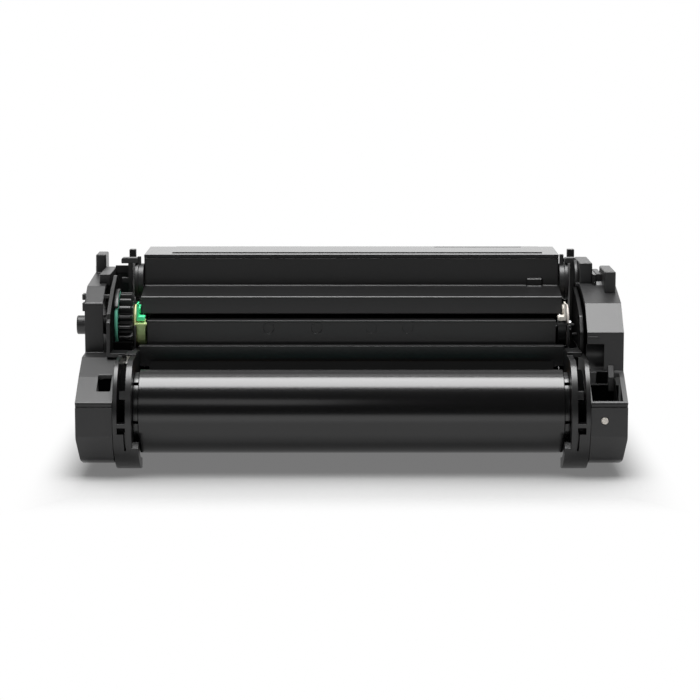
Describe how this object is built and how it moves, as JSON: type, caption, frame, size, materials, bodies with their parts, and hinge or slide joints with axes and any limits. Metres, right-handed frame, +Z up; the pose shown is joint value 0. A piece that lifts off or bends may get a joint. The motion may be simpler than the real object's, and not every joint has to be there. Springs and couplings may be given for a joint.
{
  "type": "toner cartridge",
  "caption": "Toner cartridge for a laser printer: drum unit with swinging cover, developer section, toner hopper and end caps with gears.",
  "frame": {"origin": "middle of the toner hopper's flat underside, on the plane that the cartridge rests on", "axes": "+X along the drum to the right, +Y from the drum to the back of the hopper, +Z up"},
  "size_m": [0.327, 0.206, 0.1197],
  "materials": {
    "black_plastic": "fine moulded texture",
    "grey_black_plastic": "fine moulded texture",
    "dark_grey_plastic": "moulded texture",
    "satin_black": "satin",
    "photoconductor": "glossy coating on aluminium",
    "dark_rubber": "matt",
    "amber_rubber": "satin",
    "steel": "ground",
    "coated_steel": "matt black coat",
    "foam": "open-cell foam",
    "white_plastic": "self-lubricating plastic",
    "teal_plastic": "satin",
    "gold_plastic": "satin",
    "beige_plastic": "satin",
    "emerald_plastic": "satin",
    "pale_green_plastic": "satin",
    "natural_plastic": "satin"
  },
  "bodies": {
    "housing": {"drum_frame": "black_plastic", "auger_cover": "black_plastic", "hopper_body": "black_plastic", "hopper_lid": "grey_black_plastic", "left_end_cap": "dark_grey_plastic", "right_end_cap": "dark_grey_plastic", "left_bracket": "dark_grey_plastic", "right_bracket": "dark_grey_plastic", "left_fill_plug": "dark_grey_plastic", "right_fill_plug": "dark_grey_plastic", "left_bush": "pale_green_plastic", "left_bush_clip": "emerald_plastic", "right_bush": "natural_plastic", "right_bush_clip": "natural_plastic", "contact_pin": "natural_plastic", "drum_axle": "steel", "idler_pin": "steel", "wiper_blade": "amber_rubber", "wiper_bracket": "coated_steel", "doctor_blade": "steel"},
    "drum": {"drum_tube": "photoconductor", "drum_gear": "dark_grey_plastic", "drum_hub": "dark_grey_plastic"},
    "cover": {"drum_cover": "satin_black"},
    "charge_roller": {"charge_shaft": "steel", "charge_sleeve": "dark_rubber"},
    "developer": {"developer_roller": "dark_rubber", "developer_gear": "white_plastic"},
    "adder": {"adder_shaft": "steel", "adder_foam": "foam", "adder_gear": "white_plastic"},
    "idler": {"idler_gear": "white_plastic"},
    "paddle": {"paddle_shaft": "white_plastic", "paddle_gear": "white_plastic"},
    "auger": {"waste_auger": "steel", "drive_gear": "dark_grey_plastic", "drive_flange": "teal_plastic", "drive_washer": "gold_plastic", "drive_coupler": "dark_grey_plastic", "end_disc": "beige_plastic"}
  },
  "joints": [
    {"name": "drum_spin", "type": "hinge", "parent": "housing", "child": "drum", "pos_m": [0, -0.1155, 0.0345], "axis": [1, 0, 0], "continuous": true},
    {"name": "cover_swing", "type": "hinge", "parent": "housing", "child": "cover", "pos_m": [0, -0.1155, 0.0345], "axis": [-1, 0, 0], "range_deg": [0, 45]},
    {"name": "charge_spin", "type": "hinge", "parent": "housing", "child": "charge_roller", "pos_m": [0, -0.09112, 0.04435], "axis": [1, 0, 0], "continuous": true},
    {"name": "developer_spin", "type": "hinge", "parent": "housing", "child": "developer", "pos_m": [0, -0.08614, 0.02663], "axis": [1, 0, 0], "continuous": true},
    {"name": "adder_spin", "type": "hinge", "parent": "housing", "child": "adder", "pos_m": [0, -0.06978, 0.019], "axis": [1, 0, 0], "continuous": true},
    {"name": "idler_spin", "type": "hinge", "parent": "housing", "child": "idler", "pos_m": [0, -0.07816, 0.049], "axis": [1, 0, 0], "continuous": true},
    {"name": "paddle_spin", "type": "hinge", "parent": "housing", "child": "paddle", "pos_m": [0, -0.016, 0.06036], "axis": [1, 0, 0], "continuous": true},
    {"name": "auger_spin", "type": "hinge", "parent": "housing", "child": "auger", "pos_m": [0, -0.065, 0.0785], "axis": [1, 0, 0], "continuous": true}
  ],
  "couplings": [
    {"joint": "charge_spin", "follows": "drum_spin", "ratio": -3.3333},
    {"joint": "developer_spin", "follows": "drum_spin", "ratio": -2.2},
    {"joint": "adder_spin", "follows": "drum_spin", "ratio": 2.4444},
    {"joint": "idler_spin", "follows": "drum_spin", "ratio": 1.4667},
    {"joint": "auger_spin", "follows": "drum_spin", "ratio": -1.1579},
    {"joint": "paddle_spin", "follows": "drum_spin", "ratio": 0.61111}
  ]
}
